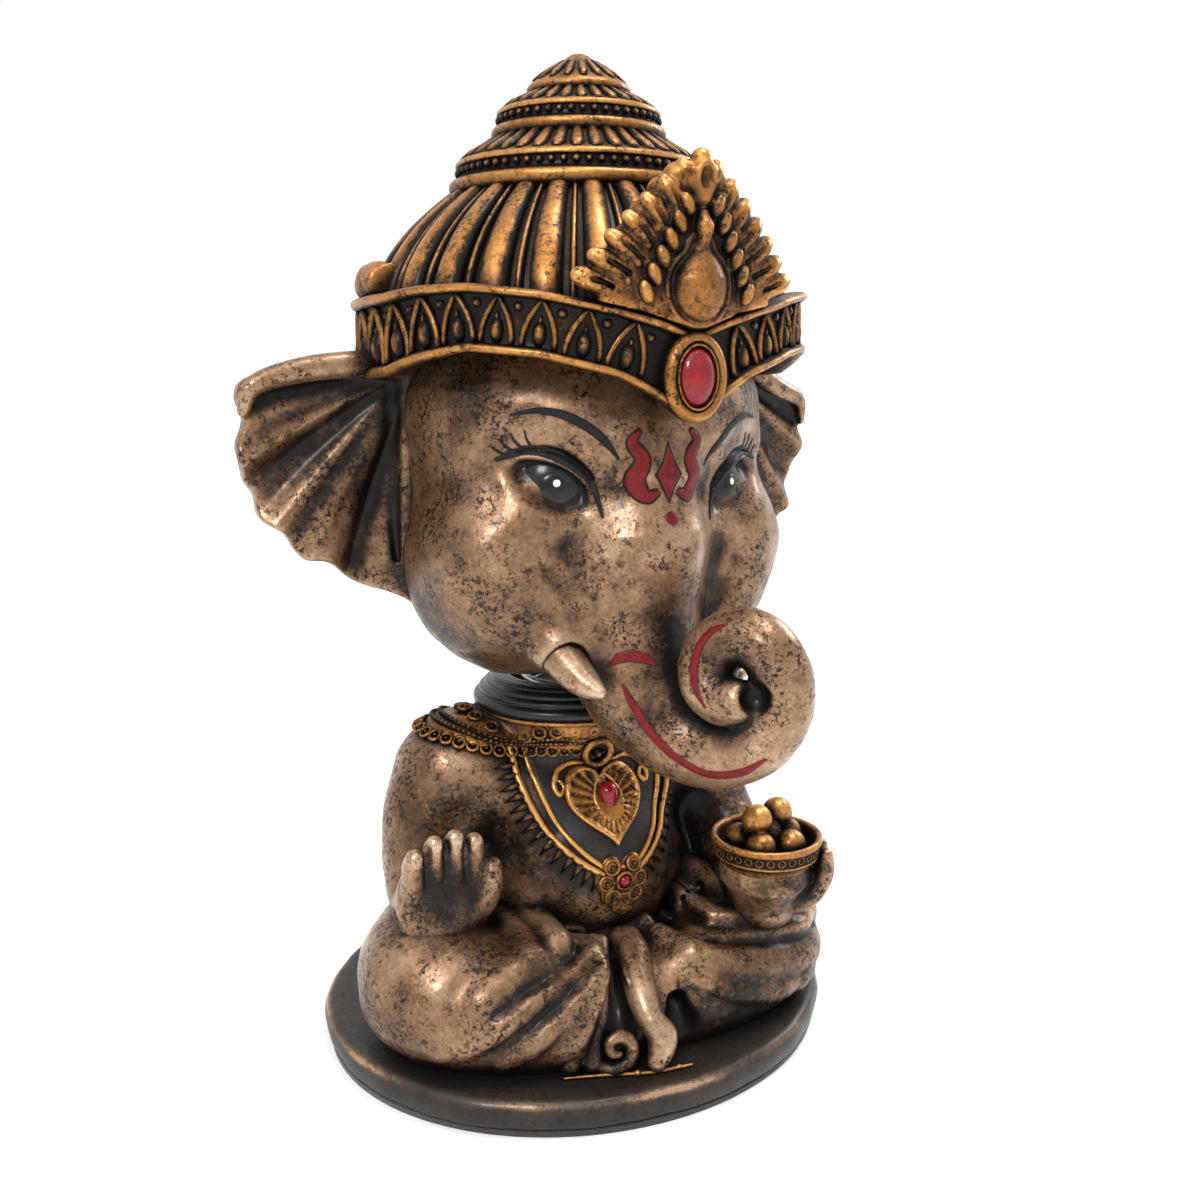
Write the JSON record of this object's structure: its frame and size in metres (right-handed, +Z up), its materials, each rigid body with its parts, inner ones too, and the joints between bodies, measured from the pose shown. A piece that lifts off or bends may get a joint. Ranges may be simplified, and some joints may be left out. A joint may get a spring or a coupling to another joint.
{
  "type": "bobblehead idol",
  "caption": "Seated elephant-headed deity on an oval plinth, with a crowned head that bobs on a coil spring and a bowl of sweets in one hand.",
  "frame": {"origin": "centre of the underside of the felt pad", "axes": "+Z up through the crown, -Y the way the figure faces, +X towards the figure's own left hand"},
  "size_m": [0.115, 0.0945, 0.165],
  "materials": {
    "bronze_skin": "satin",
    "gold_bronze": "satin",
    "dark_bronze": "satin",
    "red_stone": "gloss",
    "spring_steel": "satin",
    "dark_felt": "matte"
  },
  "bodies": {
    "figure": {"felt_pad": "dark_felt", "base_plinth": "dark_bronze", "legs_dhoti": "bronze_skin", "dhoti_pleat": "bronze_skin", "front_foot": "bronze_skin", "torso": "bronze_skin", "right_arm": "bronze_skin", "right_hand": "bronze_skin", "left_arm": "bronze_skin", "left_hand": "bronze_skin", "offering_bowl": "gold_bronze", "sweets": "gold_bronze", "collar": "gold_bronze", "long_necklace": "gold_bronze", "heart_pendant": "gold_bronze", "pendant_stone": "red_stone", "drop_flower": "gold_bronze", "drop_stone": "red_stone", "neck_ring": "dark_bronze", "spring_plug": "dark_bronze"},
    "spring": {"neck_spring": "spring_steel"},
    "cap": {"spring_cap": "dark_bronze"},
    "washer": {"cap_washer": "spring_steel"},
    "head": {"cap_screw": "spring_steel", "head_shell": "bronze_skin", "trunk": "bronze_skin", "right_ear": "bronze_skin", "left_ear": "bronze_skin", "right_tusk": "bronze_skin", "left_tusk": "bronze_skin", "crown_band": "gold_bronze", "band_bezel": "gold_bronze", "band_stone": "red_stone", "crown_dome": "gold_bronze", "crown_roll": "gold_bronze", "crown_crest": "gold_bronze", "crown_lower_tier": "gold_bronze", "crown_upper_tier": "gold_bronze", "crown_finial": "gold_bronze"}
  },
  "joints": [
    {"name": "head_bounce", "type": "slide", "parent": "figure", "child": "spring", "axis": [0, 0, 1], "range_m": [-0.001, 0.002], "stiffness_N_per_m": 2000, "springref_m": 0.0012, "deforming": ["neck_spring"]},
    {"name": "head_nod", "type": "hinge", "parent": "spring", "child": "cap", "pos_m": [0, 0.0045, 0.067], "axis": [1, 0, 0], "range_deg": [-7, 7], "stiffness_Nm_per_rad": 1.2},
    {"name": "head_sway", "type": "hinge", "parent": "cap", "child": "washer", "pos_m": [0, 0.0045, 0.067], "axis": [0, 1, 0], "range_deg": [-7, 7], "stiffness_Nm_per_rad": 1.2},
    {"name": "head_turn", "type": "hinge", "parent": "washer", "child": "head", "pos_m": [0, 0.0045, 0.067], "axis": [0, 0, 1], "range_deg": [-12, 12], "stiffness_Nm_per_rad": 0.6}
  ]
}
